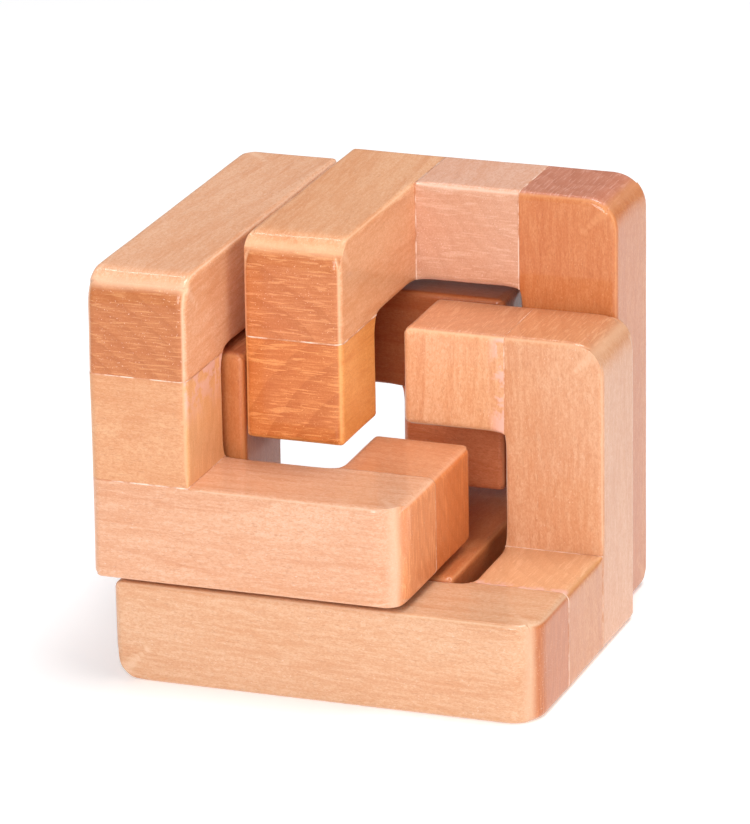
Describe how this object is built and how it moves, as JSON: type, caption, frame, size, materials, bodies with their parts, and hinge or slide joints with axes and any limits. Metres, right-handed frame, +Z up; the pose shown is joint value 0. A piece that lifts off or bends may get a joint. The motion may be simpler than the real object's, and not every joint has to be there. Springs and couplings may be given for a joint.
{
  "type": "wooden burr puzzle",
  "caption": "Interlocking wooden burr puzzle: rounded hardwood pieces of glued square sticks that hook through each other to make a small cube, and slide apart.",
  "frame": {"origin": "on the table, under the middle of the puzzle's outer box at rest", "axes": "+X to the right, +Y to the back, +Z up; the long bar of the base piece lies along X at the front"},
  "size_m": [0.0622, 0.06, 0.06],
  "materials": {
    "long_bar_wood": "satin clear lacquer",
    "spacer_block_wood": "satin clear lacquer",
    "cross_bar_wood": "satin clear lacquer",
    "tip_block_wood": "satin clear lacquer",
    "arm_bar_wood": "satin clear lacquer",
    "arm_block_wood": "satin clear lacquer"
  },
  "bodies": {
    "base_piece": {"base_long_bar": "long_bar_wood", "base_spacer_block": "spacer_block_wood", "base_cross_bar": "cross_bar_wood", "base_tip_block": "tip_block_wood", "base_arm_bar": "arm_bar_wood", "base_arm_block": "arm_block_wood"},
    "left_piece": {"left_long_bar": "long_bar_wood", "left_spacer_block": "spacer_block_wood", "left_cross_bar": "cross_bar_wood", "left_tip_block": "tip_block_wood", "left_arm_bar": "arm_bar_wood", "left_arm_block": "arm_block_wood"},
    "back_piece": {"back_long_bar": "long_bar_wood", "back_spacer_block": "spacer_block_wood", "back_cross_bar": "cross_bar_wood", "back_tip_block": "tip_block_wood", "back_arm_bar": "arm_bar_wood", "back_arm_block": "arm_block_wood"}
  },
  "joints": [
    {"name": "left_piece_slide", "type": "slide", "parent": "base_piece", "child": "left_piece", "axis": [-1, 0, 0], "range_m": [-0.002, 0.0135]},
    {"name": "back_piece_slide", "type": "slide", "parent": "base_piece", "child": "back_piece", "axis": [0, 1, 0], "range_m": [0, 0.0168]}
  ]
}
